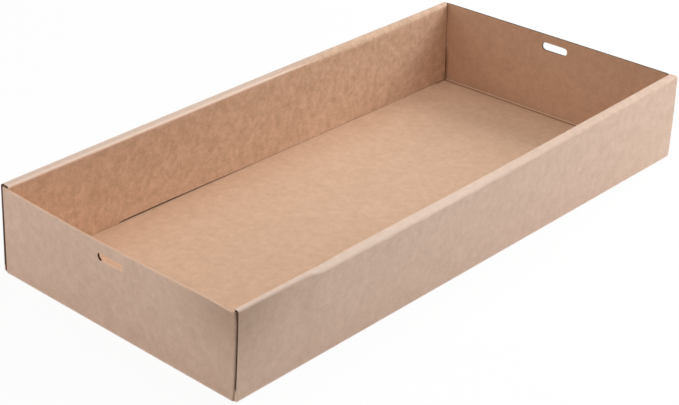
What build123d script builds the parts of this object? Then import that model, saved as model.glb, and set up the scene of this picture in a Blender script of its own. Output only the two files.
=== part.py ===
from build123d import *
import math
import os

# A shallow corrugated-card tray, die-cut and folded from one sheet.
# X runs along the tray, Y across it and Z up. The origin is on the table, under the middle.

# The whole tray, in millimetres and degrees
base_length = 554.0        # base panel, between its two end folds
base_width = 262.0         # base panel, between its two side folds
wall_height = 80.0         # from the table to the flat top of a rolled side wall
wall_lean = 3.0            # degrees that each wall opens outwards from upright

# The sheet
board = 1.6                # thickness of the fluted board
fold_inside = 0.6          # radius on the inside of a fold

# The rolled side walls: an outer panel, a flat top and an inner panel that comes back down
flap_gap_outer = 1.2       # air between a corner flap and the outer panel
flap_gap_inner = 2.0       # air between a corner flap and the inner panel
side_setback = 0.5         # cut end of an outer panel, short of the end wall's outer face
corner_gap = 0.4           # air between a corner fold and the ends of the flat top and inner panel
foot_gap = 0.4             # lower edge of an inner panel above the base

# The locking tabs along the foot of each inner panel, and their slots in the base
tab_length = 60.0
tab_spacing = 380.0        # middle to middle of the two tabs of a side
tab_corner = 1.0           # rounded lower corner of a tab
tab_recess = 0.2           # end of a tab above the table
tab_clearance = 0.4        # air round a tab in its slot

# The end walls: one thickness of board, with a slot for a lid's tongue
end_drop = 1.0             # raw top edge of an end wall below the flat tops
slot_length = 28.0
slot_height = 7.5
slot_depth = 12.0          # middle of the slot below the raw top edge

# The corner flaps, which turn in from the end walls and lie inside the side walls
flap_length = 72.0
flap_slope = 7.0           # narrowing of a flap towards its free end, at top and bottom
flap_corner = 9.0          # rounded corners of its free end
flap_clearance = 0.6       # air above and below a flap

# Sizes that follow
lean_run = math.tan(math.radians(wall_lean))             # outwards, for each millimetre up
lean_board = board / math.cos(math.radians(wall_lean))   # a leaning sheet, measured level
fold_outside = fold_inside + board
rim_width = flap_gap_outer + flap_gap_inner + 3 * lean_board
end_height = wall_height - end_drop
flap_foot = board + flap_clearance
flap_top = wall_height - board - flap_clearance
foot_height = board + foot_gap
flap_band = base_width - 2 * (lean_board + flap_gap_outer)   # over the outer faces of the flaps
corner_start = flap_band / 2 - fold_outside                  # flat part of an end wall ends here


def side_face(height):
    """Distance of a side wall's outer face from the middle of the tray, at a height."""
    return base_width / 2 + height * lean_run


def end_face(height):
    """Distance of an end wall's outer face from the middle of the tray, at a height."""
    return base_length / 2 + height * lean_run


def mirrored(points):
    """An open outline through the points of its right half and their mirror images."""
    return [(-across, up) for across, up in reversed(points)] + points


def sheet_section(outside, inside):
    """The cut face of the sheet, from the right halves of its two sides, rounded at each fold."""
    outer_side = FilletPolyline(*mirrored(outside), radius=fold_outside)
    inner_side = FilletPolyline(*mirrored(inside), radius=fold_inside)
    cut_ends = [Line(outer_side @ 0, inner_side @ 0), Line(outer_side @ 1, inner_side @ 1)]
    return make_face([outer_side, inner_side, *cut_ends])


def flared_outline(width, bottom, top):
    """Upright outline that opens outwards with the walls. The width is the one at the table."""
    foot = width / 2 + bottom * lean_run
    head = width / 2 + top * lean_run
    return make_face(Polyline((-foot, bottom), (foot, bottom), (head, top), (-head, top), close=True))


def flared_block(length, width, bottom, top, corner=0.0):
    """A block that opens outwards with the walls. Length and width are those at the table."""
    lengthways = extrude(Plane.XZ * flared_outline(length, bottom, top), amount=width, both=True)
    block = lengthways & extrude(Plane.YZ * flared_outline(width, bottom, top), amount=length, both=True)
    if corner > 0:
        uprights = block.edges().filter_by(lambda edge: abs((edge % 0.5).Z) > 0.5)
        block = fillet(uprights, corner)
    return block


def side_walls():
    """Base and both rolled side walls: one section of the sheet, pushed along the tray."""
    under_top = wall_height - board
    outside = [
        (side_face(0), 0),
        (side_face(wall_height), wall_height),
        (side_face(wall_height) - rim_width, wall_height),
        (side_face(foot_height) - rim_width, foot_height),
    ]
    inside = [
        (side_face(board) - lean_board, board),
        (side_face(under_top) - lean_board, under_top),
        (side_face(under_top) - rim_width + lean_board, under_top),
        (side_face(foot_height) - rim_width + lean_board, foot_height),
    ]
    section = Plane.YZ * sheet_section(outside, inside)
    walls = extrude(section, amount=end_face(wall_height), both=True)
    above = 2 * wall_height
    whole_width = 2 * side_face(above)
    ends_trimmed = flared_block(base_length - 2 * side_setback, whole_width, -board, above)
    between_panels = base_width - 2 * lean_board
    clear_length = base_length - 2 * (fold_outside + corner_gap)
    clear_of_ends = flared_block(base_length + whole_width, between_panels, -board, above)
    clear_of_ends -= flared_block(clear_length, base_width, -board, above)
    return walls & ends_trimmed - clear_of_ends


def end_walls():
    """Base and both end walls between the corners, pushed across the tray."""
    outside = [(end_face(0), 0), (end_face(end_height), end_height)]
    inside = [(end_face(board) - lean_board, board), (end_face(end_height) - lean_board, end_height)]
    section = Plane.XZ * sheet_section(outside, inside)
    return extrude(section, amount=corner_start, both=True)


def flap_outline():
    """Side view of the two corner flaps at the ends of a side wall, with the base cut away."""
    root = base_length / 2 - fold_outside
    free = end_face(0) - flap_length
    outline = Polyline(
        (root + flap_foot * lean_run, flap_foot),
        (root + flap_top * lean_run, flap_top),
        (free, flap_top - flap_slope),
        (free, flap_foot + flap_slope),
        close=True,
    )
    flap = make_face(outline)
    flap = fillet(flap.vertices().sort_by(Axis.X)[:2], flap_corner)
    return Plane.XZ * (flap + mirror(flap, about=Plane.YZ))


def corners():
    """The upright folds at the ends of the end walls, and the flaps that turn in from them."""
    outer = flared_block(base_length, flap_band, flap_foot, end_height, fold_outside)
    inner = flared_block(base_length - 2 * lean_board, flap_band - 2 * lean_board,
                         -board, 2 * wall_height, fold_inside)
    band = outer - inner - Box(2 * base_length, 2 * corner_start, 4 * wall_height)
    past_folds = flared_block(base_length - 2 * fold_outside, base_width, -board, 2 * wall_height)
    flaps = band & extrude(flap_outline(), amount=base_width, both=True)
    return (band - past_folds) + flaps


def tabs():
    """Locking tabs that carry on down from the inner panels into the base."""
    outer = side_face(0) - rim_width
    outline = Polyline(
        (outer + foot_height * lean_run, foot_height),
        (outer + tab_recess * lean_run, tab_recess),
        (outer + tab_recess * lean_run + lean_board, tab_recess),
        (outer + foot_height * lean_run + lean_board, foot_height),
        close=True,
    )
    tab = extrude(Plane.YZ * make_face(outline), amount=tab_length / 2, both=True)
    corner_edges = tab.edges().filter_by(Axis.Y, tolerance=1).sort_by(Axis.Z)[:2]
    return fillet(corner_edges, tab_corner)


def tab_slots():
    """Slot in the base that a locking tab drops into."""
    middle = side_face(0) - rim_width + lean_board / 2
    width = lean_board + 2 * tab_clearance
    return Pos(0, middle, 0) * Box(tab_length + 2 * tab_clearance, width, 2 * board)


def at_each_tab(shape):
    """Copies of a shape at both tabs of both side walls."""
    copies = []
    for along in (-tab_spacing / 2, tab_spacing / 2):
        copy = Pos(along, 0, 0) * shape
        copies += [copy, mirror(copy, about=Plane.XZ)]
    return copies


def lid_slots():
    """The round-ended slot near the top of each end wall, cut square to the leaning board."""
    height = end_height - slot_depth
    slot = extrude(Plane.YZ * SlotOverall(slot_length, slot_height), amount=3 * board, both=True)
    slot = Pos(end_face(height), 0, height) * Rot(0, wall_lean, 0) * slot
    return [slot, mirror(slot, about=Plane.YZ)]


def tray():
    """The whole folded sheet as one solid."""
    sheet = side_walls() + end_walls() + corners()
    sheet -= at_each_tab(tab_slots())
    sheet += at_each_tab(tabs())
    sheet -= lid_slots()
    return sheet


os.makedirs("parts", exist_ok=True)
export_step(tray(), "parts/tray.step")
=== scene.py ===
import math

import bmesh
import bpy
import numpy as np
from mathutils import Matrix


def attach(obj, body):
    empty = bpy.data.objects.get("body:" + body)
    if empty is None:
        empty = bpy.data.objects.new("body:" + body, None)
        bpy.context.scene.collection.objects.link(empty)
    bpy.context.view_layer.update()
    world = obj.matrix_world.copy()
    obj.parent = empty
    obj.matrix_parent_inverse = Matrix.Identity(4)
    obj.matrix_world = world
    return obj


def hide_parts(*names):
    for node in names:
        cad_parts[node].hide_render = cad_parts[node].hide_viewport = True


# The whole tray is one folded sheet, made here as a thin surface that is then given the board's thickness.
# Lengths are millimetres in the CAD's frame: X along the tray, Y across it, Z up.
# "front" is the long wall nearest the camera (-Y) and "left" the short wall nearest it (-X).
mm = 0.001

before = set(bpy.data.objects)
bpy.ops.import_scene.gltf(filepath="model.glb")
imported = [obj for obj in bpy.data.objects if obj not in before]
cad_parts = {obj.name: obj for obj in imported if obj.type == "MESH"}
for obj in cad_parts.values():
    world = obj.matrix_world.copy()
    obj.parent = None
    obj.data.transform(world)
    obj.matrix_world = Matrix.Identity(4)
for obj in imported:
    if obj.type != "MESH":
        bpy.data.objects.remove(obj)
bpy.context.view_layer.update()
print("frame loaded")


tray = {
    "halfLength": 281.12,          # the box that the tray stays in
    "halfWidth": 135.05,
    "height": 79.99,
    "board": 1.6,
    "foldRadius": 1.4,             # to the middle of the board
    "crispFold": 1.0,              # the same on the front wall's outer edge
    "crushedFold": 1.3,            # the same where that edge is crushed, at the front left corner
    "crushed": (-270.0, -256.0),   # along the tray, where the crushed stretch ends
    "dents": (-122.0, -79.0, 20.0),   # small dents in that edge, along the tray
    "dentDepth": 0.9,              # added to the fold's radius in the middle of a dent
    "dentLength": 6.0,             # from there to where about a third of it is left
    # How far each wall's outer face stands in from the box: at the table, at its two ends
    "footInset": {"front": (7.4, 5.7), "back": (2.8, 3.6), "left": (5.4, 5.4), "right": (2.5, 6.0)},
    # The same along its top, at its first end, its middle and its last end
    "topInset": {"front": (0.4, 0.8, 6.5), "back": (5.2, 1.3, 0.05),
                 "left": (1.8, 0.3, 5.7), "right": (0.7, 0.6, 1.5)},
    "rimWidth": {"front": (7.9, 9.0, 9.0), "back": (8.8, 10.2, 6.4)},   # flat tops, at the same three places
    "rimPinch": 1.5,               # how much narrower the front one is by the front left corner
    "pinched": (-210.0, -150.0),   # along the tray, where the pinch eases off
    "edgePush": 1.7,               # how far the same edge is pushed in there
    "pushEnd": (-212.0, -196.0),   # along the tray, where the push eases off
    "pushFoot": 68.0,              # height from which it grows
    # How far both walls bow in half way up, at the front left corner, and the length over which that fades
    "cornerBow": {"front": 2.0, "left": 2.4},
    "bowLength": {"front": 110.0, "left": 290.0},
    "endCurl": 0.5,                # how far the back inner panel curls back at its right end
    "endCurled": (248.0, 284.0),   # along the tray, where that begins and is full
    # The front flat top gets as much painted highlight as it would at this distance from a fold, at places along
    # the tray
    "paintedHighlight": ((-50, 160), (1.0, 1.6)),
    "backPaintedHighlight": ((40, 140), (1.15, 9.0)),   # the same for the back one
    # How far a flat top's outer and inner edges lie below the tray's height, at places along the tray
    "rimFall": {("front", "outer"): ((-208, -196, 20, 250), (0.0, 1.8, 1.8, 0.4)),
                ("front", "inner"): ((0,), (0.0,)),
                ("back", "outer"): ((40, 130, 210, 250, 274), (0.0, -0.2, -0.2, -0.1, 0.0)),
                ("back", "inner"): ((40, 130, 210, 250, 274), (0.0, 2.4, 2.8, 2.0, 1.2))},
    # Radius of the back wall's inner top fold, at places along the tray
    "backFold": ((0, 130, 210, 274), (1.0, 4.0, 4.0, 2.6)),
    "softUnhighlighted": 0.6,           # share of its extra radius, added to the distance from both top folds there, so they get less painted highlight
    "endUnhighlighted": 1.0,            # added to the base's distance from an end wall's fold, so that fold gets less painted highlight
    "frontUnhighlighted": 1.6,          # added on the front outer panel, but for its lowest rows, so it gets less painted highlight
    "frontFootRows": 5,
    # The outward faces' painted grey sheen fades from this far before the inner top folds, over this length
    "outsideFade": (2.5, 6.0),
    "innerFoot": {"front": (7.9, 7.9), "back": (4.9, 9.2)},    # inner panel's inner face, from the outer face
    "warmRim": (20.0, 140.0),      # along the tray, where the back flat top comes to lose the painted grey sheen and have the inside's colour
    "footGap": 0.4,                # foot of an inner panel above the base
    "footLift": 1.1,               # the back one's further lift past its first tab
    "liftRise": 3.0,               # from the tab's end to the full lift
    "liftEnd": 60.0,               # from the tab's end to where it begins to fall
    "liftFall": 110.0,
    "endHeight": {"left": 78.5, "right": 79.3},   # raw top edges of the end walls
    # The same at the front and at the back corner, and how far out the drop to it begins and ends
    "endCorner": {"left": (76.4, 78.1), "right": (78.1, 78.1)},
    "cornerDrop": {"left": ((100.0, 128.0), (126.0, 130.0)), "right": ((120.5, 124.5), (126.0, 130.0))},
    "endSetback": 2.6,             # inner panels and base, short of the end walls' outer faces
    "rimSetback": {("front", "left"): 0.9, ("front", "right"): 0.4,
                   ("back", "left"): 2.3, ("back", "right"): 1.0},
    # Cut ends of the outer panels, short of the end walls' outer faces, at the table and at the top
    "cutSetback": {("front", "left"): (0.6, 1.7), ("front", "right"): (-2.2, 1.1),
                   ("back", "left"): (0.9, 1.6), ("back", "right"): (0.5, 0.5)},
    "cutBulge": 0.9,               # how far the front panel's right cut end bulges out half way up
    "weld": 0.02,                  # points closer than this are one
    "sharpAngle": 35.0,            # degrees, past which two faces meet in an edge
}

tabs = {"centre": 190.0, "half": 30.0, "clearance": 0.4, "end": 0.2, "rows": 3}

flaps = {
    "foot": 2.6,                   # lowest and highest point at the fold
    "top": 76.0,
    "length": 72.0,
    "slope": 7.0,
    "corner": 9.0,
    "reach": 1.7,                  # from the fold's start to the flap's middle line
    "unhighlighted": 1.6,               # added to the distance from the fold, so it gets no painted highlight
    "shade": (0.8, 2.4),           # past the fold's start, where the painted shade of the rolled wall's inside begins and is full
    # Air between the fold and the outer panel, at the table and at the top, at the left and the right end
    "gap": {"front": ((0.4, 0.9), (0.35, 0.7)), "back": ((1.0, 1.3), (0.35, 0.7))},
}

lidSlot = {
    "length": 28.0,
    "height": 7.5,
    "centre": {"left": (-2.9, 65.3), "right": (1.1, 68.0)},    # across the tray and up
    "rings": 6,
    "crowding": 0.7,               # below 1 it draws the rings together towards the slot
    "blockAcross": 21.0,           # half size of the part of the wall's grid that the rings take the place of
    "blockUp": 9.4,
}


# A parabola through three values, met at t = -1, 0 and 1
def throughThree(values, t):
    first, middle, last = values
    return middle + (last - first) / 2 * t + ((first + last) / 2 - middle) * t * t


# A straight run between two values, met at t = -1 and 1
def throughTwo(values, t):
    first, last = values
    return (first + last) / 2 + (last - first) / 2 * t


# 0 before the start, 1 past the end and a smooth change between them
def ease(value, start, end):
    share = np.clip((value - start) / (end - start), 0, 1)
    return share * share * (3 - 2 * share)


# 1 along the left stretch of the front wall's top edge, which is pushed in, and 0 past it
def pushed(t):
    return 1 - ease(t * tray["halfLength"], *tray["pushEnd"])


# Outer face of a wall, as a distance from the tray's middle, at t along the wall and height z:
# the box's half size less the inset, which changes in a straight line from the foot to the top
def wallFace(name, t, z):
    half = tray["halfWidth"] if name in ("front", "back") else tray["halfLength"]
    foot = half - throughTwo(tray["footInset"][name], t)
    top = half - throughThree(tray["topInset"][name], t)
    face = foot + (top - foot) * z / tray["height"]
    if name == "front":
        grown = np.clip((z - tray["pushFoot"]) / (tray["height"] - tray["pushFoot"]), 0, 1)
        face = face - tray["edgePush"] * pushed(t) * grown
    return face


# How far a wall bows in from that face: half a sine wave up the wall, fading with distance from the corner
def bowIn(name, t, z):
    if name not in tray["cornerBow"]:
        return 0.0
    away = (1 + t) * (tray["halfLength"] if name == "front" else tray["halfWidth"])
    bow = tray["cornerBow"][name] * (1 - ease(away, 0, tray["bowLength"][name]))
    return bow * np.sin(np.pi * np.clip(z / tray["height"], 0, 1))


# Thickness of a rolled wall from outer face to inner face, a straight change from its foot to its top
def wallWidth(name, t, z):
    foot = throughTwo(tray["innerFoot"][name], t)
    return foot + (rimWidth(name, t) - foot) * z / tray["height"]


# Width of a flat top: a parabola along it. The front one is pinched, and pushed in, by the front left corner
def rimWidth(name, t):
    width = throughThree(tray["rimWidth"][name], t)
    if name == "front":
        width = width - tray["rimPinch"] * (1 - ease(t * tray["halfLength"], *tray["pinched"]))
        width = width - tray["edgePush"] * pushed(t)
    return width


# Where an end wall's flat part ends and its corner fold begins: the outer face, less the outer panel's board,
# the gap and half the flap's board, which gives the flap's middle line, less the reach of the fold
def cornerEdge(name, t, z):
    gaps = [foot + (top - foot) * z / tray["height"] for foot, top in flaps["gap"][name]]
    gap = np.where(np.asarray(t) < 0, *gaps)
    return wallFace(name, t, z) - bowIn(name, t, z) - 1.5 * tray["board"] - gap - flaps["reach"]


# A folded section, one row of points for each station. Each corner is an arc of its radius, tangent to both
# straight runs: centre = arrival + inward normal * radius, and the arc's points turn about it from the
# arrival by equal steps of the fold's angle. Returns the points and each corner's first and last index.
def foldedPath(corners, radii, steps, arcSteps=6):
    points = np.stack([np.stack(np.broadcast_arrays(*corner), -1) for corner in corners], 1).astype(float)
    runs, marks, count, leave = [], [], 0, None
    for n, radius in enumerate(radii):
        corner = points[:, n]
        arc, nextLeave, arrive = corner[:, None], corner, corner
        if np.any(radius):
            before = corner - points[:, n - 1]
            before = before / np.linalg.norm(before, axis=1, keepdims=True)
            after = points[:, n + 1] - corner
            after = after / np.linalg.norm(after, axis=1, keepdims=True)
            turn = np.arctan2(before[:, 0] * after[:, 1] - before[:, 1] * after[:, 0], (before * after).sum(1))
            size = np.broadcast_to(radius, turn.shape)[:, None]
            reach = size * np.tan(np.abs(turn) / 2)[:, None]
            arrive, nextLeave = corner - before * reach, corner + after * reach
            inward = np.stack([-before[:, 1], before[:, 0]], 1) * np.sign(turn)[:, None]
            angle = (np.linspace(0, 1, arcSteps + 1)[None] * np.abs(turn)[:, None])[..., None]
            centre = arrive + inward * size
            arc = centre[:, None] + size[:, None] * (before[:, None] * np.sin(angle)
                                                     - inward[:, None] * np.cos(angle))
        if n:
            share = np.linspace(0, 1, steps[n - 1] + 1)[1:-1][None, :, None]
            runs.append(leave[:, None] * (1 - share) + arrive[:, None] * share)
            count += runs[-1].shape[1]
        marks.append((count, count + arc.shape[1] - 1))
        runs.append(arc)
        count += arc.shape[1]
        leave = nextLeave
    return np.concatenate(runs, 1), marks


# Distance along each row of points, from its first point
def lengthAlong(points):
    steps = np.linalg.norm(np.diff(points, axis=1), axis=2)
    return np.concatenate([np.zeros((len(points), 1)), np.cumsum(steps, axis=1)], 1)


# Quads of a grid of points numbered row by row, without the cells that keep marks False
def gridFaces(rows, columns, keep=None):
    index = np.arange(rows * columns).reshape(rows, columns)
    quads = np.stack([index[:-1, :-1], index[1:, :-1], index[1:, 1:], index[:-1, 1:]], -1)
    return quads[keep] if keep is not None else quads.reshape(-1, 4)


# The sheet's growing lists: points, their place on the flat sheet, distance from a fold, how far a panel belongs
# to the tray's outside, which sets the painted grey sheen, and how far it is shut inside a rolled wall (0 to 1),
# and faces
sheet = {"points": [], "flat": [], "crease": [], "outer": [], "shut": [], "faces": [], "count": 0}
farFromFold = 30.0     # mm, stands for any distance at which a fold no longer shows
hair = 0.01            # mm, allowed for rounding


# Adds a grid of points to those lists, its faces numbered on from the points already there
def addGrid(points, flat, crease, keep=None, outer=1.0, shut=0.0):
    rows, columns = points.shape[:2]
    sheet["points"].append(points.reshape(-1, 3))
    sheet["flat"].append(flat.reshape(-1, 2))
    sheet["crease"].append(crease.reshape(-1))
    sheet["outer"].append(np.broadcast_to(outer, (rows, columns)).reshape(-1))
    sheet["shut"].append(np.broadcast_to(shut, (rows, columns)).reshape(-1))
    sheet["faces"].append(gridFaces(rows, columns, keep=keep) + sheet["count"])
    sheet["count"] += rows * columns


# Base and both rolled side walls. Each station along the tray is one folded path, from the foot of the front
# inner panel, over its rim and down, across the base, and up, over and down the back wall. Near the ends the
# stations are drawn out to each panel's own cut end.
endStation = 274.0
rampStart = 240.0
evenStations = 119
tooClose = 1.5         # mm, an even station nearer than this to a tab's or a slot's end gives way


# Stations along the tray: an even spread, and one at each end of each tab and of its slot
def stationsAlong():
    even = np.linspace(-endStation, endStation, evenStations)
    edges = [side * tabs["centre"] + end * (tabs["half"] + extra)
             for side in (-1, 1) for end in (-1, 1) for extra in (0, tabs["clearance"])]
    clear = np.abs(even[:, None] - np.array(edges)[None]).min(1) > tooClose
    return np.sort(np.concatenate([even[clear], edges]))


# One side's corners at each station, as places across and up: both edges of the tab's slot in the base, the
# wall's foot, both edges of its flat top and the foot of its inner panel. All are on the board's middle, half a
# board in from wallFace. The slot's edges move over to the end wall's corner by the ramp.
def sideSection(name, t, ramp):
    sign = -1 if name == "front" else 1
    board, height = tray["board"], tray["height"]
    end = np.sign(t)
    foot, top = wallFace(name, t, board / 2) - board / 2, wallFace(name, t, height) - board / 2
    footHeight = board + footGap(name, t)
    inner = wallFace(name, t, 0) - throughTwo(tray["innerFoot"][name], t) + board / 2
    rimInner = top + board - rimWidth(name, t)
    if name == "back":
        curl = tray["endCurl"] * ease(t * tray["halfLength"], *tray["endCurled"])
        inner, rimInner = inner + curl, rimInner + curl / 2
    slotHalf = board / 2 + tabs["clearance"]
    slotOuter = (inner + slotHalf) * (1 - ramp) + cornerEdge(name, end, board / 2) * ramp
    across = [slotOuter - 2 * slotHalf, slotOuter, foot, top, rimInner, inner]
    x = t * tray["halfLength"]
    outerUp, innerUp = (height - board / 2 - np.interp(x, *tray["rimFall"][(name, edge)])
                        for edge in ("outer", "inner"))
    up = [board / 2, board / 2, board / 2, outerUp, innerUp, footHeight]
    return [(sign * a, u + 0 * t) for a, u in zip(across, up)]


# The back inner panel lifts a little off the base past its first tab, and settles again by the middle
def footGap(name, t):
    lift = 0 * t
    if name == "back":
        x = t * tray["halfLength"]
        past = x + tabs["centre"] - tabs["half"]
        lift = tray["footLift"] * np.clip(past / tray["liftRise"], 0, 1)
        lift = lift * np.clip(1 - (past - tray["liftEnd"]) / tray["liftFall"], 0, 1)
    return tray["footGap"] + lift


along = stationsAlong()
t = along / tray["halfLength"]
ramp = ease(np.abs(along), rampStart, endStation)
frontSection = sideSection("front", t, ramp)
backSection = sideSection("back", t, ramp)
fold = tray["foldRadius"]
frontFold = tray["crispFold"] + (tray["crushedFold"] - tray["crispFold"]) * (1 - ease(along, *tray["crushed"]))
for dent in tray["dents"]:
    frontFold = frontFold + tray["dentDepth"] * np.exp(-((along - dent) / tray["dentLength"]) ** 2)
backFold = np.interp(along, *tray["backFold"])
cross, crossMarks = foldedPath(
    frontSection[::-1] + backSection,
    [0, fold, frontFold, fold, 0, 0, 0, 0, fold, fold, backFold, 0],
    [18, 3, 18, 2, 1, 50, 1, 2, 18, 3, 18],      # steps along each straight run
)
frontPanel = slice(crossMarks[2][1], crossMarks[3][0] + 1)
cross[:, frontPanel, 0] += bowIn("front", t[:, None], cross[:, frontPanel, 1])
crossLength = lengthAlong(cross)
middle = (crossMarks[5][0] + crossMarks[6][0]) // 2
crossV = crossLength - crossLength[:, middle:middle + 1] + cross[:, middle:middle + 1, 0]


# How far a sample of the section ends short of an end wall: its own setback on each flat top and outer
# panel, and the common one elsewhere, changing over the fold between them. The front panel's right cut end
# bulges out by half a sine wave up the wall.
def sampleSetback(end, z):
    base = tray["endSetback"]
    at, foot, top = [], [], []
    for name, inner, outer, lower in (("front", 1, 2, 3), ("back", 10, 9, 8)):
        low, high = tray["cutSetback"][(name, end)]
        rim = tray["rimSetback"][(name, end)]
        first, last = (0, 1) if name == "front" else (1, 0)
        order = [(crossMarks[inner][first], base, base), (crossMarks[inner][last], rim, rim),
                 (crossMarks[outer][first], rim, rim), (crossMarks[outer][last], low, high),
                 (crossMarks[lower][first], low, high), (crossMarks[lower][last], base, base)]
        for index, atFoot, atTop in (order if name == "front" else order[::-1]):
            at.append(index)
            foot.append(atFoot)
            top.append(atTop)
    samples = np.arange(cross.shape[1])
    atFoot, atTop = np.interp(samples, at, foot), np.interp(samples, at, top)
    setback = atFoot + (atTop - atFoot) * z / tray["height"]
    if end == "right":
        outerPanel = (samples > crossMarks[2][1]) & (samples < crossMarks[3][0])
        setback = setback - tray["cutBulge"] * outerPanel * np.sin(np.pi * np.clip(z / tray["height"], 0, 1))
    return setback


y, z = cross[..., 0], cross[..., 1]
acrossT = np.clip(y / tray["halfWidth"], -1, 1)
reachLeft = wallFace("left", acrossT, z) - bowIn("left", acrossT, z) - sampleSetback("left", z)
reachRight = wallFace("right", acrossT, z) - sampleSetback("right", z)
drawnOut = np.where(along[:, None] < 0, endStation - reachLeft, reachRight - endStation)
x = along[:, None] + ramp[:, None] * drawnOut
crossPoints = np.stack([x, y, z], -1)

# Distance of each point from the nearest fold, along the flat sheet, which sets the painted highlight along the
# folds
foldLines = np.stack([crossV[:, (crossMarks[n][0] + crossMarks[n][1]) // 2] for n in (1, 2, 3, 8, 9, 10)], -1)
toFold = np.abs(crossV[..., None] - foldLines[:, None])
softness = tray["softUnhighlighted"] * np.maximum(backFold - fold, 0)    # a soft fold gets less painted highlight
toFold[..., 4:] += softness[:, None, None]
crossCrease = toFold.min(-1)
onBase = (np.arange(cross.shape[1]) > crossMarks[3][1]) & (np.arange(cross.shape[1]) < crossMarks[8][0])
endCrease = np.where(along[:, None] < 0, reachLeft + x, reachRight - x) + tray["endUnhighlighted"]
crossCrease = np.where(onBase[None], np.minimum(crossCrease, endCrease), crossCrease)
frontTop = slice(crossMarks[1][0], crossMarks[2][1] + 1)      # painted highlight all over, as on a fold
underTop = slice(crossMarks[2][1] + 1, crossMarks[3][0] - tray["frontFootRows"])
paintedHighlight = np.interp(along, *tray["paintedHighlight"])[:, None]
crossCrease[:, frontTop] = paintedHighlight
crossCrease[:, underTop] += tray["frontUnhighlighted"]
backTop = slice(crossMarks[9][1] + 1, crossMarks[10][0])
crossCrease[:, backTop] = np.minimum(crossCrease[:, backTop], np.interp(along, *tray["backPaintedHighlight"])[:, None])

# The base's grid has no cells where the tabs' slots are
inTab = np.abs(np.abs(along) - tabs["centre"]) < tabs["half"] + tabs["clearance"] + hair
keepCross = np.ones((len(along) - 1, cross.shape[1] - 1), bool)
openStations = inTab[:-1] & inTab[1:]
for slotColumn in (crossMarks[4][0], crossMarks[6][0]):
    keepCross[openStations, slotColumn] = False

# The outward faces' painted grey sheen reaches over the flat tops and fades past their inner folds
backRim = foldLines[:, 5] + (foldLines[:, 4] - foldLines[:, 5]) * ease(along, *tray["warmRim"])
pastRim = np.maximum(foldLines[:, :1] - crossV, crossV - backRim[:, None])
fadeBefore, fadeLength = tray["outsideFade"]
crossOuter = 1 - np.clip((pastRim + fadeBefore) / fadeLength, 0, 1)
addGrid(crossPoints, np.stack([x, crossV], -1), crossCrease, keep=keepCross, outer=crossOuter)
print("base and side walls:", crossPoints.shape[:2])


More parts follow.
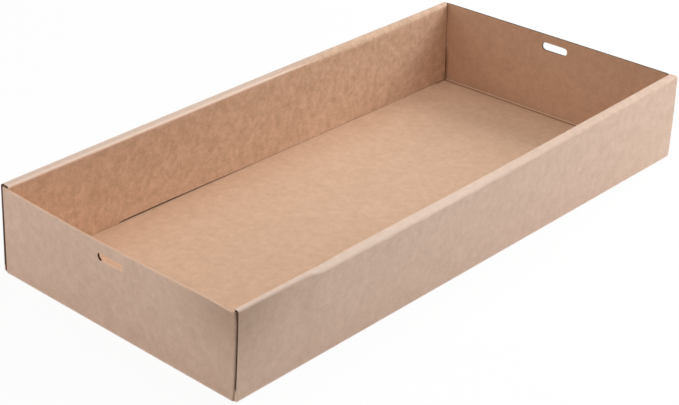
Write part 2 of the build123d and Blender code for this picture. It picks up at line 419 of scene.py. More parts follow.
# An end wall: columns across the tray, each a folded path from the base up to the raw top edge. It leans by
# wallFace and bows by bowIn, and its columns spread evenly between the two corner folds as it rises. A block
# of the grid round the lid slot gives way to rings that go in steps from the block's outline to the slot's.
def endWall(end):
    sign = -1 if end == "left" else 1
    board = tray["board"]
    base = crossPoints[0 if sign < 0 else -1, crossMarks[4][0]:crossMarks[7][0] + 1]
    baseY = base[:, 1]

    def middleFace(acrossY, up):
        return wallFace(end, np.clip(acrossY / tray["halfWidth"], -1, 1), up) - board / 2

    def bowAt(acrossY, up):
        return bowIn(end, np.clip(acrossY / tray["halfWidth"], -1, 1), up)

    side = (baseY > 0).astype(int)
    dropStart, dropEnd = np.array(tray["cornerDrop"][end])[side].T
    dropped = np.clip((np.abs(baseY) - dropStart) / (dropEnd - dropStart), 0, 1)
    cornerHeight = np.array(tray["endCorner"][end])[side]
    topHeight = tray["endHeight"][end] + (cornerHeight - tray["endHeight"][end]) * dropped
    heights = [board / 2, flaps["foot"], flaps["top"], topHeight]
    corners = [(np.abs(base[:, 0]), base[:, 2])] + [(middleFace(baseY, h), h) for h in heights]
    path, marks = foldedPath(corners, [0, fold, 0, 0, 0], [1, 1, 20, 1])
    up = path[..., 1]
    edges = [-cornerEdge("front", sign, up), cornerEdge("back", sign, up)]
    share = ((baseY - baseY[0]) / (baseY[-1] - baseY[0]))[:, None]
    acrossY = edges[0] + (edges[1] - edges[0]) * share
    out = path[..., 0] + middleFace(acrossY, up) - middleFace(baseY[:, None], up)
    out = out - bowAt(acrossY, up)
    out[:, 0], acrossY[:, 0] = np.abs(base[:, 0]), baseY
    length = lengthAlong(path)
    points = np.stack([sign * out, acrossY, up], -1)
    flat = np.stack([sign * (np.abs(base[:, :1]) + length), baseY[:, None] + 0 * length], -1)
    foldLine = length[:, (marks[1][0] + marks[1][1]) // 2][:, None]
    toCorner = np.minimum(baseY - baseY[0], baseY[-1] - baseY)[:, None] + flaps["unhighlighted"]
    crease = np.minimum(np.abs(length - foldLine), toCorner)

    slotAcross, slotUp = lidSlot["centre"][end]
    rowIn = np.abs(up[len(up) // 2] - slotUp) < lidSlot["blockUp"]
    rowFirst, rowLast = np.where(rowIn)[0][[0, -1]]
    inBlock = np.abs(acrossY[:, rowFirst] - slotAcross) < lidSlot["blockAcross"]
    columnFirst, columnLast = np.where(inBlock)[0][[0, -1]]
    keep = np.ones((points.shape[0] - 1, points.shape[1] - 1), bool)
    keep[columnFirst:columnLast, rowFirst:rowLast] = False
    addGrid(points, flat, crease, keep=keep)

    around = [(slice(columnFirst, columnLast), rowFirst), (columnLast, slice(rowFirst, rowLast)),
              (slice(columnLast, columnFirst, -1), rowLast), (columnFirst, slice(rowLast, rowFirst, -1))]
    outline = np.concatenate([points[a] for a in around])
    flatOutline = np.concatenate([flat[a] for a in around])
    core = lidSlot["length"] / 2 - lidSlot["height"] / 2
    nearest = np.clip(outline[:, 1], slotAcross - core, slotAcross + core)
    away = np.stack([outline[:, 1] - nearest, outline[:, 2] - slotUp], 1)
    away = away / np.linalg.norm(away, axis=1, keepdims=True) * lidSlot["height"] / 2
    rimY, rimUp = nearest + away[:, 0], slotUp + away[:, 1]
    step = (np.linspace(0, 1, lidSlot["rings"]) ** lidSlot["crowding"])[None]
    ringY = outline[:, 1:2] + (rimY[:, None] - outline[:, 1:2]) * step
    ringUp = outline[:, 2:3] + (rimUp[:, None] - outline[:, 2:3]) * step
    ring = np.stack([sign * (middleFace(ringY, ringUp) - bowAt(ringY, ringUp)), ringY, ringUp], -1)
    ring[:, 0] = outline
    ringFlat = np.stack([flatOutline[:, :1] + sign * (ringUp - ringUp[:, :1]),
                         flatOutline[:, 1:] + ringY - ringY[:, :1]], -1)
    ring, ringFlat = (np.concatenate([a, a[:1]]) for a in (ring, ringFlat))
    addGrid(ring, ringFlat, np.full(ring.shape[:2], farFromFold))
    return points, flat, marks


# A corner: from the end wall's upright edge round a fold, then the flap inside the rolled wall. Stations are
# heights, from half way round the fold at the end wall's foot. The flap narrows to its free end by a share
# that grows along it, and its two free corners are drawn back by a circle.
def cornerFlap(end, name, wall, wallFlat, marks):
    endSign = -1 if end == "left" else 1
    sideSign = -1 if name == "front" else 1
    column = 0 if name == "front" else -1
    start = (marks[1][0] + marks[1][1]) // 2
    edge = wall[column, start:]
    edgeFlat = wallFlat[column, start:]
    up = edge[:, 2]
    turnY = np.abs(edge[:, 1]) + flaps["reach"]
    middleUp = (flaps["foot"] + flaps["top"]) / 2
    halfUp = (flaps["top"] - flaps["foot"]) / 2
    into = np.clip(np.abs(up - middleUp) - (halfUp - flaps["corner"]), 0, flaps["corner"])
    drawnBack = flaps["corner"] - np.sqrt(flaps["corner"] ** 2 - into ** 2)
    freeX = np.abs(edge[:, 0]) - flaps["length"] + drawnBack
    freeT = endSign * freeX / tray["halfLength"]
    freeY = wallFace(name, freeT, up) - wallWidth(name, freeT, up) / 2
    face = [wallFace(end, np.clip(sideSign * y / tray["halfWidth"], -1, 1), up)
            for y in (np.abs(edge[:, 1]), turnY)]
    rootX = np.abs(edge[:, 0]) + face[1] - face[0]
    path, pathMarks = foldedPath([(np.abs(edge[:, 0]), np.abs(edge[:, 1])), (rootX, turnY), (freeX, freeY)],
                                 [0, fold, 0], [1, 12])
    length = lengthAlong(path)
    root = pathMarks[1][1]
    past = np.clip((length - length[:, root:root + 1]) / flaps["length"], 0, 1)
    narrowed = middleUp + (up - middleUp)[:, None] * (1 - past * flaps["slope"] / halfUp)
    points = np.stack([endSign * path[..., 0], sideSign * path[..., 1], narrowed], -1)
    points[:, 0] = edge
    flat = np.stack([edgeFlat[:, :1] + 0 * length, edgeFlat[:, 1:] + sideSign * length], -1)
    foldLine = length[:, (pathMarks[1][0] + pathMarks[1][1]) // 2][:, None]
    turned = ease(length - length[:, pathMarks[1][0], None], *flaps["shade"])
    keep = np.ones((len(up) - 1, path.shape[1] - 1), bool)
    foldOnly = (up[1:] > flaps["top"] + hair) | (up[:-1] < flaps["foot"] - hair)
    keep[np.ix_(foldOnly, np.arange(path.shape[1] - 1) >= root)] = False
    addGrid(points, flat, np.abs(length - foldLine) + flaps["unhighlighted"], keep=keep, shut=turned)


for end in ("left", "right"):
    wallPoints, wallFlat, wallMarks = endWall(end)
    for name in ("front", "back"):
        cornerFlap(end, name, wallPoints, wallFlat, wallMarks)
print("end walls, lid slots and corner flaps")


# A locking tab: the stations of the inner panel's foot, carried on down in its own plane into the base's slot
def lockingTab(name, centre):
    chosen = np.where(np.abs(along - centre) < tabs["half"] + hair)[0]
    foot, above = (0, 1) if name == "front" else (-1, -2)
    top, higher = crossPoints[chosen, foot], crossPoints[chosen, above]
    slope = (top - higher) / (top - higher)[:, 2:3]
    drop = (top[:, 2] - tabs["end"])[:, None] * np.linspace(0, 1, tabs["rows"])[None]
    points = top[:, None] - slope[:, None] * drop[..., None]
    points[:, 0] = top
    flat = np.stack([points[..., 0], crossV[chosen, foot][:, None] + (-drop if name == "front" else drop)], -1)
    addGrid(points, flat, np.full(points.shape[:2], farFromFold), outer=0.0)


for name in ("front", "back"):
    for centre in (-tabs["centre"], tabs["centre"]):
        lockingTab(name, centre)


# Three marks at each vertex: which face of the board it is on (0 or 1, the first points being one face and the
# rest the other), whether it is the sheet's outer face on an outer panel, and whether it is shut inside a
# rolled wall: 0 to 1 over half a board past the inner panel's middle. The outer face is the one whose points
# mostly lie further from the tray's middle than their partners on the other face.
def markFaces(solid, thin):
    places = np.empty(len(solid.vertices) * 3, np.float32)
    solid.vertices.foreach_get("co", places)
    places = places.reshape(-1, 3)
    outer, shut = np.empty(len(places), np.float32), np.empty(len(places), np.float32)
    solid.attributes["outer"].data.foreach_get("value", outer)
    solid.attributes["shut"].data.foreach_get("value", shut)
    across = places[:thin] - places[thin:2 * thin]
    away = (across * (places[:thin] - (0, 0, tray["height"] / 2 * mm))).sum()
    onOuterFace = (np.arange(len(places)) < thin) == (away > 0)
    outward = onOuterFace * outer
    x, y, z = places.T / mm
    t = x / tray["halfLength"]
    hidden = shut
    for name, side in (("front", -y), ("back", y)):
        panel = wallFace(name, t, z) - wallWidth(name, t, z) + tray["board"] / 2
        hidden = np.maximum(hidden, np.clip((side - panel) / (tray["board"] / 2), 0, 1) * ~onOuterFace)
    marks = (("boardSide", np.arange(len(places)) >= thin), ("outward", outward), ("hidden", hidden))
    for name, values in marks:
        layer = solid.attributes.new(name, "FLOAT", "POINT")
        layer.data.foreach_set("value", values.astype(np.float32))


# One mesh from all grids: welded where they meet, then given the board's thickness both ways from its middle.
# Each vertex keeps its place on the flat sheet, its distance from a fold, and which face of the board it is on.
def makeCardSheet():
    mesh = bpy.data.meshes.new("cardSheet")
    points = np.concatenate(sheet["points"]) * mm
    mesh.from_pydata(points, [], np.concatenate(sheet["faces"]).tolist())
    flat = mesh.attributes.new("flatPlace", "FLOAT2", "POINT")
    flat.data.foreach_set("vector", (np.concatenate(sheet["flat"]) * mm).astype(np.float32).ravel())
    for name in ("crease", "outer", "shut"):
        layer = mesh.attributes.new(name, "FLOAT", "POINT")
        layer.data.foreach_set("value", np.concatenate(sheet[name]).astype(np.float32))
    work = bmesh.new()
    work.from_mesh(mesh)
    bmesh.ops.remove_doubles(work, verts=work.verts, dist=tray["weld"] * mm)
    bmesh.ops.recalc_face_normals(work, faces=work.faces)
    work.to_mesh(mesh)
    work.free()
    thin = len(mesh.vertices)
    card = bpy.data.objects.new("cardSheet", mesh)
    bpy.context.scene.collection.objects.link(card)
    thicken = card.modifiers.new("board", "SOLIDIFY")
    thicken.thickness = tray["board"] * mm
    thicken.offset = 0
    thicken.use_even_offset = True
    thicken.material_offset_rim = 1
    mesh.materials.append(kraftLiner)
    mesh.materials.append(cutBoard)
    graph = bpy.context.evaluated_depsgraph_get()
    solid = bpy.data.meshes.new_from_object(card.evaluated_get(graph))
    card.modifiers.clear()
    card.data = solid
    markFaces(solid, thin)
    work = bmesh.new()
    work.from_mesh(solid)
    bmesh.ops.recalc_face_normals(work, faces=work.faces)
    work.to_mesh(solid)
    work.free()
    place = np.empty(len(solid.vertices) * 2, np.float32)
    solid.attributes["flatPlace"].data.foreach_get("vector", place)
    corner = np.empty(len(solid.loops), np.int32)
    solid.loops.foreach_get("vertex_index", corner)
    layer = solid.uv_layers.new(name="flatSheet")
    layer.uv.foreach_set("vector", place.reshape(-1, 2)[corner].ravel())
    solid.polygons.foreach_set("use_smooth", np.ones(len(solid.polygons), bool))
    solid.set_sharp_from_angle(angle=math.radians(tray["sharpAngle"]))
    return card


# sRGB hex to Blender's linear colour
def hexColour(text):
    parts = [int(text.lstrip("#")[n:n + 2], 16) / 255 for n in (0, 2, 4)]
    return tuple(p / 12.92 if p <= 0.04045 else ((p + 0.055) / 1.055) ** 2.4 for p in parts) + (1.0,)


# Adds a node: settings are its own properties, inputs are values or the sockets to link from
def addNode(tree, kind, inputs=None, **settings):
    node = tree.nodes.new(kind)
    for key, value in settings.items():
        setattr(node, key, value)
    for key, value in (inputs or {}).items():
        if isinstance(value, bpy.types.NodeSocket):
            tree.links.new(value, node.inputs[key])
        else:
            node.inputs[key].default_value = value
    return node


# An empty material with a Principled shader on its output
def newMaterial(name):
    material = bpy.data.materials.new(name)
    material.use_nodes = True
    tree = material.node_tree
    tree.nodes.clear()
    shader = tree.nodes.new("ShaderNodeBsdfPrincipled")
    output = tree.nodes.new("ShaderNodeOutputMaterial")
    tree.links.new(shader.outputs[0], output.inputs["Surface"])
    return material, tree, shader


kraft = {
    "light": "#E8C4A8",
    "dark": "#C7A183",
    "outside": (1.03, 1.12, 1.27),   # the liner's colour times this on outward faces, greyer: a painted sheen of the white light they get
    "cornerShade": "#DAD5D0",        # and times this by the front left top corner: painted shade, darker there
    "cornerShadePlace": (-0.281, -0.135, 0.085),   # metres
    "cornerShadeReach": 0.085,
    "inWallShade": "#74452A",        # painted shade inside the rolled walls, seen only through their slits
    "fold": "#F6D8BE",          # painted highlight along a fold, outside
    "innerFoldHighlight": "#FFDEC2",     # the same inside, a painted highlight on the line raised over the score
    "paintedHighlight": (0.4, 1.6),       # mm from a fold, where that painted highlight is full and where it is gone
    "paintedHighlightShare": 0.8,
    "shoulderShade": "#7E4C2C",      # painted shade on the base beside a fold
    "shoulderReach": (2.0, 5.0),   # mm from the fold, where it is full and where it is gone
    "shoulderShare": 0.7,
    "scoreBead": (0.2, 1.3),    # mm from a fold, top and foot of the raised line along it, inside
    "roughness": 0.60,
    "roughSpread": 0.06,
    "gloss": 0.15,
    "contrast": 2.2,            # of the pattern
    "innerContrast": 4.4,       # the same on the inner panels, which are blotchier
    "cloudSize": 16.0,          # mm, uneven formation of the paper
    "mottleSize": 7.0,          # mm, clumps of fibre, with finer ones inside them
    "fibreLength": 3.0,         # mm
    "fibreWidth": 0.35,         # mm
    "flutePitch": 3.3,          # mm, the fluted middle printing through the liner
    "weights": (0.16, 0.51, 0.31, 0.02),   # of clouds, mottle, fibres and flutes in the pattern
}


# Kraft liner board: unbleached brown paper, machine-made, matt. To the eye it is an even light brown with a
# fine fibre mottle, faint clouds, and very faint stripes where the flutes lie under it.
def makeKraftLiner():
    material, tree, shader = newMaterial("kraftLinerBoard")
    place = addNode(tree, "ShaderNodeTexCoord").outputs["Object"]
    flat = addNode(tree, "ShaderNodeUVMap", uv_map="flatSheet").outputs["UV"]

    # The paper's pattern, as shares of four others about a mean of 0.5. A wave texture has ten bands in a length
    # of pi, so a tenth of pi gives one stripe for each flute.
    cloud = addNode(tree, "ShaderNodeTexNoise", {"Vector": place, "Scale": 1000 / kraft["cloudSize"],
                                                 "Detail": 3.0, "Roughness": 0.55})
    mottle = addNode(tree, "ShaderNodeTexNoise", {"Vector": place, "Scale": 1000 / kraft["mottleSize"],
                                                  "Detail": 5.0, "Roughness": 0.72})
    stretched = addNode(tree, "ShaderNodeMapping", {"Vector": flat, "Scale": (1000 / kraft["fibreLength"],
                                                                            1000 / kraft["fibreWidth"], 1.0)})
    fibre = addNode(tree, "ShaderNodeTexNoise", {"Vector": stretched.outputs[0], "Scale": 1.0, "Detail": 2.0,
                                                 "Distortion": 0.6})
    stripes = addNode(tree, "ShaderNodeMapping", {"Vector": flat,
                                                  "Scale": (1000 / kraft["flutePitch"], 1.0, 1.0)})
    flute = addNode(tree, "ShaderNodeTexWave", {"Vector": stripes.outputs[0], "Scale": math.pi / 10,
                                                "Distortion": 0.0, "Detail": 0.0},
                    wave_type="BANDS", bands_direction="X", wave_profile="SIN")
    total = 0.0
    for pattern, weight in zip((cloud, mottle, fibre, flute), kraft["weights"]):
        total = addNode(tree, "ShaderNodeMath", {0: pattern.outputs["Fac"], 1: weight, 2: total},
                        operation="MULTIPLY_ADD").outputs[0]
    panel = addNode(tree, "ShaderNodeAttribute", attribute_name="outer").outputs["Fac"]
    gain = addNode(tree, "ShaderNodeMapRange", {"Value": panel, "To Min": kraft["innerContrast"],
                                                "To Max": kraft["contrast"]}).outputs[0]
    offMean = addNode(tree, "ShaderNodeMath", {0: total, 1: 0.5}, operation="SUBTRACT").outputs[0]
    spread = addNode(tree, "ShaderNodeMath", {0: offMean, 1: gain, 2: 0.5}, operation="MULTIPLY_ADD",
                     use_clamp=True).outputs[0]
    colour = addNode(tree, "ShaderNodeMix", {"Factor": spread, "A": hexColour(kraft["dark"]),
                                             "B": hexColour(kraft["light"])}, data_type="RGBA").outputs[2]

    # Painted highlight along the folds, then greyer on outward faces, a painted sheen
    outward = addNode(tree, "ShaderNodeAttribute", attribute_name="outward").outputs["Fac"]
    crease = addNode(tree, "ShaderNodeAttribute", attribute_name="crease").outputs["Fac"]
    full, gone = kraft["paintedHighlight"]
    nearFold = addNode(tree, "ShaderNodeMapRange", {"Value": crease, "From Min": full, "From Max": gone,
                                                    "To Min": kraft["paintedHighlightShare"], "To Max": 0.0},
                       interpolation_type="SMOOTHSTEP").outputs[0]
    foldHighlightColour = addNode(tree, "ShaderNodeMix", {"Factor": outward, "A": hexColour(kraft["innerFoldHighlight"]),
                                                 "B": hexColour(kraft["fold"])}, data_type="RGBA").outputs[2]
    paintedHighlight = addNode(tree, "ShaderNodeMix", {"Factor": nearFold, "A": colour, "B": foldHighlightColour},
                     data_type="RGBA").outputs[2]
    folded = addNode(tree, "ShaderNodeMix", {"Factor": outward, "A": paintedHighlight, "B": kraft["outside"] + (1.0,)},
                     data_type="RGBA", blend_type="MULTIPLY").outputs[2]

    # Painted shade on outward, upright faces near the front left top corner
    fromShadeCorner = addNode(tree, "ShaderNodeVectorMath", {0: place, 1: kraft["cornerShadePlace"]}, operation="DISTANCE")
    cornerShadeShare = addNode(tree, "ShaderNodeMapRange", {"Value": fromShadeCorner.outputs["Value"],
                                                   "From Max": kraft["cornerShadeReach"], "To Min": 1.0,
                                                   "To Max": 0.0}, interpolation_type="SMOOTHSTEP").outputs[0]
    cornerShadeShare = addNode(tree, "ShaderNodeMath", {0: cornerShadeShare, 1: outward}, operation="MULTIPLY").outputs[0]
    normal = addNode(tree, "ShaderNodeNewGeometry").outputs["Normal"]
    facingUp = addNode(tree, "ShaderNodeSeparateXYZ", {0: normal}).outputs[2]
    upright = addNode(tree, "ShaderNodeMapRange", {"Value": facingUp, "From Min": 0.3, "From Max": 0.7,
                                                   "To Min": 1.0, "To Max": 0.0}).outputs[0]
    cornerShadeShare = addNode(tree, "ShaderNodeMath", {0: cornerShadeShare, 1: upright}, operation="MULTIPLY").outputs[0]
    cornerShade = addNode(tree, "ShaderNodeMix", {"Factor": cornerShadeShare, "A": folded, "B": hexColour(kraft["cornerShade"])},
                     data_type="RGBA", blend_type="MULTIPLY").outputs[2]

    # Painted shade on the base beside its folds: on level faces that look inwards and are not on an outer panel
    inward = addNode(tree, "ShaderNodeMath", {0: 1.0, 1: outward}, operation="SUBTRACT").outputs[0]
    level = addNode(tree, "ShaderNodeMapRange", {"Value": facingUp, "From Min": 0.7,
                                                 "From Max": 0.95}).outputs[0]
    full, gone = kraft["shoulderReach"]
    beside = addNode(tree, "ShaderNodeMapRange", {"Value": crease, "From Min": full, "From Max": gone,
                                                  "To Min": kraft["shoulderShare"], "To Max": 0.0}).outputs[0]
    notRim = addNode(tree, "ShaderNodeMapRange", {"Value": panel, "From Min": 0.97, "From Max": 1.0}).outputs[0]
    onBase = addNode(tree, "ShaderNodeMath", {0: level, 1: inward}, operation="MULTIPLY").outputs[0]
    onBase = addNode(tree, "ShaderNodeMath", {0: onBase, 1: notRim}, operation="MULTIPLY").outputs[0]
    shade = addNode(tree, "ShaderNodeMath", {0: beside, 1: onBase}, operation="MULTIPLY").outputs[0]
    shaded = addNode(tree, "ShaderNodeMix", {"Factor": shade, "A": cornerShade, "B": hexColour(kraft["shoulderShade"])},
                     data_type="RGBA").outputs[2]

    # Painted shade where it is shut inside a rolled wall
    hidden = addNode(tree, "ShaderNodeAttribute", attribute_name="hidden").outputs["Fac"]
    dimmed = addNode(tree, "ShaderNodeMix", {"Factor": hidden, "A": shaded, "B": hexColour(kraft["inWallShade"])},
                     data_type="RGBA").outputs[2]
    tree.links.new(dimmed, shader.inputs["Base Color"])

    # Rough paper, with a raised line along the scores on its inward faces
    rough = addNode(tree, "ShaderNodeMapRange", {"Value": mottle.outputs["Fac"],
                                                 "From Min": 0.3, "From Max": 0.7,
                                                 "To Min": kraft["roughness"] - kraft["roughSpread"],
                                                 "To Max": kraft["roughness"] + kraft["roughSpread"]})
    tree.links.new(rough.outputs[0], shader.inputs["Roughness"])
    shader.inputs["Specular IOR Level"].default_value = kraft["gloss"]
    bump = addNode(tree, "ShaderNodeBump", {"Height": total, "Strength": 0.35, "Distance": 0.0002})
    top, foot = kraft["scoreBead"]
    scored = addNode(tree, "ShaderNodeMapRange", {"Value": crease, "From Min": top, "From Max": foot,
                                                  "To Min": 1.0, "To Max": 0.0},
                     interpolation_type="SMOOTHSTEP").outputs[0]
    bead = addNode(tree, "ShaderNodeMath", {0: scored, 1: inward}, operation="MULTIPLY").outputs[0]
    beaded = addNode(tree, "ShaderNodeBump", {"Height": bead, "Strength": 0.6, "Distance": 0.0005,
                                              "Normal": bump.outputs[0]})
    tree.links.new(beaded.outputs[0], shader.inputs["Normal"])
    return material


# The far end wall's raw edge and the outer panels' left ends were cut across the flutes. Their dark is painted
# shade, of the open flute ends and the slits beside them. Places are metres on the flat sheet, along it or
# across it from its middle.
cutEdge = {
    "paper": "#F3D6C0",
    # painted shade of the flutes' hollows, between the liners
    "fluteHollowShade": "#DDB89C",
    # painted shade of the open flutes and the slits beside them
    "open": "#40281A",
    "farShade": 0.95,             # share of that dark on the far raw edge
    "farEdge": (0.330, 0.335),    # along, where it begins and is full
    "sideShade": 0.95,            # the same on the outer panels' left ends
    "sideEdge": (0.134, 0.138),   # across
    "linerShade": 0.45,           # how much less of it the liners have on those left ends
    "leftHalf": (-0.01, 0.01),    # along, the change from the sheet's left half to its right half
    "slotEndShade": (0.0109, 0.02),       # across, painted shade at the near lid slot's left end
    "slotEndShadeFade": 0.0003,
    "slotEndShadeStart": (-0.352, -0.350),   # along, just inside the near raw edge, which has none
    "fluteSwing": 0.33,           # as shares of the board's thickness: how far the wavy middle swings
    "fluteHalf": (0.06, 0.14),    # half its thickness, where it is plain paper and where it ends
    "linerStart": (0.33, 0.40),   # from the board's middle, where a liner begins and is full
    "roughness": 0.9,
}


# Cut edge of fluted board: die-cut, so raw paper. To the eye it is two thin pale lines, the liners, with a
# darker middle between them, painted shade of the flutes' hollows, that a pale wave crosses, and painted shade
# all through where the flutes are cut open.
def makeCutBoard():
    material, tree, shader = newMaterial("dieCutBoardEdge")
    flat = addNode(tree, "ShaderNodeUVMap", uv_map="flatSheet").outputs["UV"]
    through = addNode(tree, "ShaderNodeAttribute", attribute_name="boardSide").outputs["Fac"]
    sheetPlace = addNode(tree, "ShaderNodeSeparateXYZ", {0: flat})
    alongSheet, acrossSheet = sheetPlace.outputs[0], sheetPlace.outputs[1]

    # The wavy middle and the two liners
    angle = addNode(tree, "ShaderNodeMath", {0: alongSheet, 1: 2 * math.pi * 1000 / kraft["flutePitch"]},
                    operation="MULTIPLY").outputs[0]
    wave = addNode(tree, "ShaderNodeMath", {0: angle}, operation="SINE").outputs[0]
    centre = addNode(tree, "ShaderNodeMath", {0: wave, 1: cutEdge["fluteSwing"], 2: 0.5},
                     operation="MULTIPLY_ADD").outputs[0]
    offWave = addNode(tree, "ShaderNodeMath", {0: through, 1: centre}, operation="SUBTRACT").outputs[0]
    offWave = addNode(tree, "ShaderNodeMath", {0: offWave}, operation="ABSOLUTE").outputs[0]
    full, gone = cutEdge["fluteHalf"]
    medium = addNode(tree, "ShaderNodeMapRange", {"Value": offWave, "From Min": full, "From Max": gone,
                                                  "To Min": 1.0, "To Max": 0.0}).outputs[0]
    offMiddle = addNode(tree, "ShaderNodeMath", {0: through, 1: 0.5}, operation="SUBTRACT").outputs[0]
    offMiddle = addNode(tree, "ShaderNodeMath", {0: offMiddle}, operation="ABSOLUTE").outputs[0]
    begins, full = cutEdge["linerStart"]
    liner = addNode(tree, "ShaderNodeMapRange", {"Value": offMiddle, "From Min": begins,
                                                 "From Max": full}).outputs[0]
    paper = addNode(tree, "ShaderNodeMath", {0: medium, 1: liner}, operation="MAXIMUM").outputs[0]
    colour = addNode(tree, "ShaderNodeMix", {"Factor": paper, "A": hexColour(cutEdge["fluteHollowShade"]),
                                             "B": hexColour(cutEdge["paper"])}, data_type="RGBA").outputs[2]

    # Painted shade of open flutes: on the far raw edge, on the outer panels' left ends and at the near lid
    # slot's left end
    begins, full = cutEdge["farEdge"]
    far = addNode(tree, "ShaderNodeMapRange", {"Value": alongSheet, "From Min": begins, "From Max": full,
                                               "To Max": cutEdge["farShade"]}).outputs[0]
    begins, full = cutEdge["sideEdge"]
    fromMiddle = addNode(tree, "ShaderNodeMath", {0: acrossSheet}, operation="ABSOLUTE").outputs[0]
    side = addNode(tree, "ShaderNodeMapRange", {"Value": fromMiddle, "From Min": begins, "From Max": full,
                                                "To Max": cutEdge["sideShade"]}).outputs[0]
    lessOnLiners = addNode(tree, "ShaderNodeMath", {0: liner, 1: -cutEdge["linerShade"], 2: 1.0},
                           operation="MULTIPLY_ADD").outputs[0]
    side = addNode(tree, "ShaderNodeMath", {0: side, 1: lessOnLiners}, operation="MULTIPLY").outputs[0]
    begins, full = cutEdge["leftHalf"]
    onLeft = addNode(tree, "ShaderNodeMapRange", {"Value": alongSheet, "From Min": begins, "From Max": full,
                                                  "To Min": 1.0, "To Max": 0.0}).outputs[0]
    side = addNode(tree, "ShaderNodeMath", {0: side, 1: onLeft}, operation="MULTIPLY").outputs[0]
    dark = addNode(tree, "ShaderNodeMath", {0: far, 1: side}, operation="MAXIMUM").outputs[0]
    first, last = cutEdge["slotEndShade"]
    fromSlotEnd = addNode(tree, "ShaderNodeMath", {0: acrossSheet, 1: (first + last) / 2},
                       operation="SUBTRACT").outputs[0]
    fromSlotEnd = addNode(tree, "ShaderNodeMath", {0: fromSlotEnd}, operation="ABSOLUTE").outputs[0]
    slotEndShade = addNode(tree, "ShaderNodeMapRange", {"Value": fromSlotEnd, "From Min": (last - first) / 2,
                                                "From Max": (last - first) / 2 + cutEdge["slotEndShadeFade"],
                                                "To Min": 1.0, "To Max": 0.0}).outputs[0]
    begins, full = cutEdge["slotEndShadeStart"]
    belowTop = addNode(tree, "ShaderNodeMapRange", {"Value": alongSheet, "From Min": begins,
                                                    "From Max": full}).outputs[0]
    slotEndShade = addNode(tree, "ShaderNodeMath", {0: slotEndShade, 1: belowTop}, operation="MULTIPLY").outputs[0]
    slotEndShade = addNode(tree, "ShaderNodeMath", {0: slotEndShade, 1: onLeft}, operation="MULTIPLY").outputs[0]
    dark = addNode(tree, "ShaderNodeMath", {0: dark, 1: slotEndShade}, operation="MAXIMUM").outputs[0]
    shaded = addNode(tree, "ShaderNodeMix", {"Factor": dark, "A": colour, "B": hexColour(cutEdge["open"])},
                     data_type="RGBA").outputs[2]
    tree.links.new(shaded, shader.inputs["Base Color"])
    bump = addNode(tree, "ShaderNodeBump", {"Height": paper, "Strength": 0.6, "Distance": 0.0004})
    tree.links.new(bump.outputs[0], shader.inputs["Normal"])
    shader.inputs["Roughness"].default_value = cutEdge["roughness"]
    shader.inputs["Specular IOR Level"].default_value = 0.0
    return material


kraftLiner = makeKraftLiner()
cutBoard = makeCutBoard()
cardSheet = makeCardSheet()
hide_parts("tray")
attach(cardSheet, "root")
print("card sheet:", len(cardSheet.data.vertices), "points,", len(cardSheet.data.polygons), "faces")


table = {
    "size": 12.0,              # metres
    "colour": "#F4F4F4",
    "roughness": 0.9,
    "showsWhite": 0.94,        # share of plain white in what the camera sees of it
    "glow": 0.053,
    "below": 0.3,              # mm, under the tray
}


# 1 for a ray that reaches the camera straight, or by a mirror or glass, and 0 for one that only lights
def seenDirectly(tree):
    rays = addNode(tree, "ShaderNodeLightPath")
    straight = addNode(tree, "ShaderNodeMath", {0: rays.outputs["Is Camera Ray"],
                                                1: rays.outputs["Is Glossy Ray"]},
                       operation="MAXIMUM").outputs[0]
    return addNode(tree, "ShaderNodeMath", {0: straight, 1: rays.outputs["Is Transmission Ray"]},
                   operation="MAXIMUM").outputs[0]


# The floor is matt white. Seen directly, most of it is plain white, and the rest keeps the tray's soft shadow.
def makeFloor():
    half = table["size"] / 2
    level = -table["below"] * mm
    mesh = bpy.data.meshes.new("tableTop")
    mesh.from_pydata([(-half, -half, level), (half, -half, level), (half, half, level), (-half, half, level)],
                     [], [(0, 1, 2, 3)])
    floor = bpy.data.objects.new("tableTop", mesh)
    bpy.context.scene.collection.objects.link(floor)
    material, tree, shader = newMaterial("mattWhiteTable")
    shader.inputs["Base Color"].default_value = hexColour(table["colour"])
    shader.inputs["Roughness"].default_value = table["roughness"]
    shader.inputs["Emission Color"].default_value = (1, 1, 1, 1)
    shader.inputs["Emission Strength"].default_value = table["glow"]
    output = [node for node in tree.nodes if node.type == "OUTPUT_MATERIAL"][0]
    share = addNode(tree, "ShaderNodeMath", {0: seenDirectly(tree), 1: table["showsWhite"]},
                    operation="MULTIPLY").outputs[0]
    white = addNode(tree, "ShaderNodeEmission", {"Color": (1, 1, 1, 1), "Strength": 1.0})
    mixed = addNode(tree, "ShaderNodeMixShader", {0: share, 1: shader.outputs[0], 2: white.outputs[0]})
    tree.links.new(mixed.outputs[0], output.inputs["Surface"])
    mesh.materials.append(material)


makeFloor()


studio = {
    "worldStrength": 0.05,         # of the light it gives; the camera sees it plain white
    "aim": (0.0, 0.0, 0.03),       # where every lamp points, in metres
    # name, place in metres, size in metres, watts, colour
    "softboxes": [
        ("topSoftbox", (0.0, 0.0, 1.9), (2.4, 2.0), 14.0, "#FFFEFD"),
        ("rightSoftbox", (2.3, 0.6, 1.5), (1.6, 1.2), 23.6, "#FAFDFF"),
        ("frontSoftbox", (2.2, -0.7, 1.2), (1.4, 1.2), 11.7, "#FDFEFF"),
        ("leftTopSoftbox", (-0.9, -0.3, 1.8), (1.2, 1.2), 4.85, "#FFFDFD"),
        ("keySoftbox", (1.0, -0.8, 0.7), (0.6, 0.5), 7.7, "#F9FDFF"),
        ("highSoftbox", (0.5, -1.1, 1.5), (1.0, 0.8), 4.2, "#FFFFFF"),
        ("lowReflector", (-1.3, 0.5, 0.12), (1.0, 0.2), 6.8, "#FFFAF6"),
    ],
}


# Stands a lamp or the camera at a place. The columns of its matrix are its right, its up, its back, which is
# where it does not look, and the place.
def standAt(thing, right, upward, back, place):
    columns = np.stack([right, upward, back, place], 1)
    thing.matrix_world = Matrix(np.vstack([columns, (0, 0, 0, 1)]).tolist())


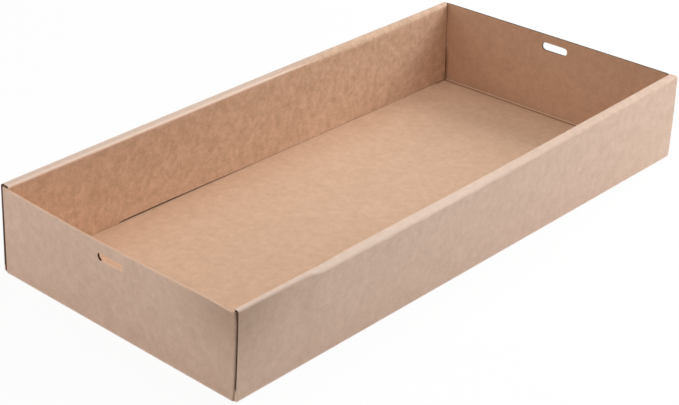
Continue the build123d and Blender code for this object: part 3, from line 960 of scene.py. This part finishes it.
# A faint white world and the lamps, each turned to the aim: its back is the way from the aim to its place, its
# right is the cross product of +Y and that, and its up is square to both
def lightStudio():
    world = bpy.data.worlds.new("studio")
    bpy.context.scene.world = world
    world.use_nodes = True
    tree = world.node_tree
    tree.nodes.clear()
    strength = addNode(tree, "ShaderNodeMapRange", {"Value": seenDirectly(tree),
                                                    "To Min": studio["worldStrength"], "To Max": 1.0})
    glow = addNode(tree, "ShaderNodeBackground", {"Color": (1, 1, 1, 1), "Strength": strength.outputs[0]})
    output = addNode(tree, "ShaderNodeOutputWorld")
    tree.links.new(glow.outputs[0], output.inputs["Surface"])
    for name, place, size, watts, colour in studio["softboxes"]:
        lamp = bpy.data.lights.new(name, "AREA")
        lamp.shape = "RECTANGLE"
        lamp.size, lamp.size_y = size
        lamp.energy = watts
        lamp.color = hexColour(colour)[:3]
        box = bpy.data.objects.new(name, lamp)
        bpy.context.scene.collection.objects.link(box)
        back = np.array(place) - np.array(studio["aim"])
        back = back / np.linalg.norm(back)
        side = np.cross((0, 1, 0), back)
        side = side / np.linalg.norm(side)
        standAt(box, side, np.cross(back, side), back, place)
        box.visible_camera = False


lightStudio()


# The camera stands off the front left corner. Its place comes from a fit of the tray's corners and edges to
# the photograph, which takes the picture as 679 x 405.
viewpoint = {
    "azimuth": -135.4,            # degrees, from +X towards +Y
    "elevation": 28.2,
    "roll": 0.2,
    "distance": 1312.4,           # mm, from the target
    "target": (-126.1, 14.0, 40.0),
    "focal": 1645.0,              # pixels
    "centreOffset": (-97.7, 12.3),   # pixels, of the lens axis from the picture's middle, right and down
    "pictureWidth": 679,
    "sensorWidth": 36.0,          # mm
    "clip": (0.05, 50.0),         # metres
}


# The camera's back is a unit vector from its azimuth and elevation. Its right lies level and its up square to
# both, and those two are then turned by the roll.
def makeCamera():
    azimuth, elevation, roll = (math.radians(viewpoint[key]) for key in ("azimuth", "elevation", "roll"))
    back = np.array([math.cos(elevation) * math.cos(azimuth), math.cos(elevation) * math.sin(azimuth),
                     math.sin(elevation)])
    right = np.cross((0, 0, 1), back)
    right = right / np.linalg.norm(right)
    upward = np.cross(back, right)
    rolledRight = right * math.cos(roll) + upward * math.sin(roll)
    rolledUp = upward * math.cos(roll) - right * math.sin(roll)
    place = (np.array(viewpoint["target"]) + back * viewpoint["distance"]) * mm
    lens = bpy.data.cameras.new("camera")
    lens.sensor_width = viewpoint["sensorWidth"]
    lens.sensor_fit = "HORIZONTAL"
    lens.lens = viewpoint["focal"] * viewpoint["sensorWidth"] / viewpoint["pictureWidth"]
    lens.shift_x = -viewpoint["centreOffset"][0] / viewpoint["pictureWidth"]
    lens.shift_y = viewpoint["centreOffset"][1] / viewpoint["pictureWidth"]
    lens.clip_start, lens.clip_end = viewpoint["clip"]
    camera = bpy.data.objects.new("camera", lens)
    bpy.context.scene.collection.objects.link(camera)
    standAt(camera, rolledRight, rolledUp, back, place)
    bpy.context.scene.camera = camera


makeCamera()
bpy.context.scene.view_settings.view_transform = "Standard"
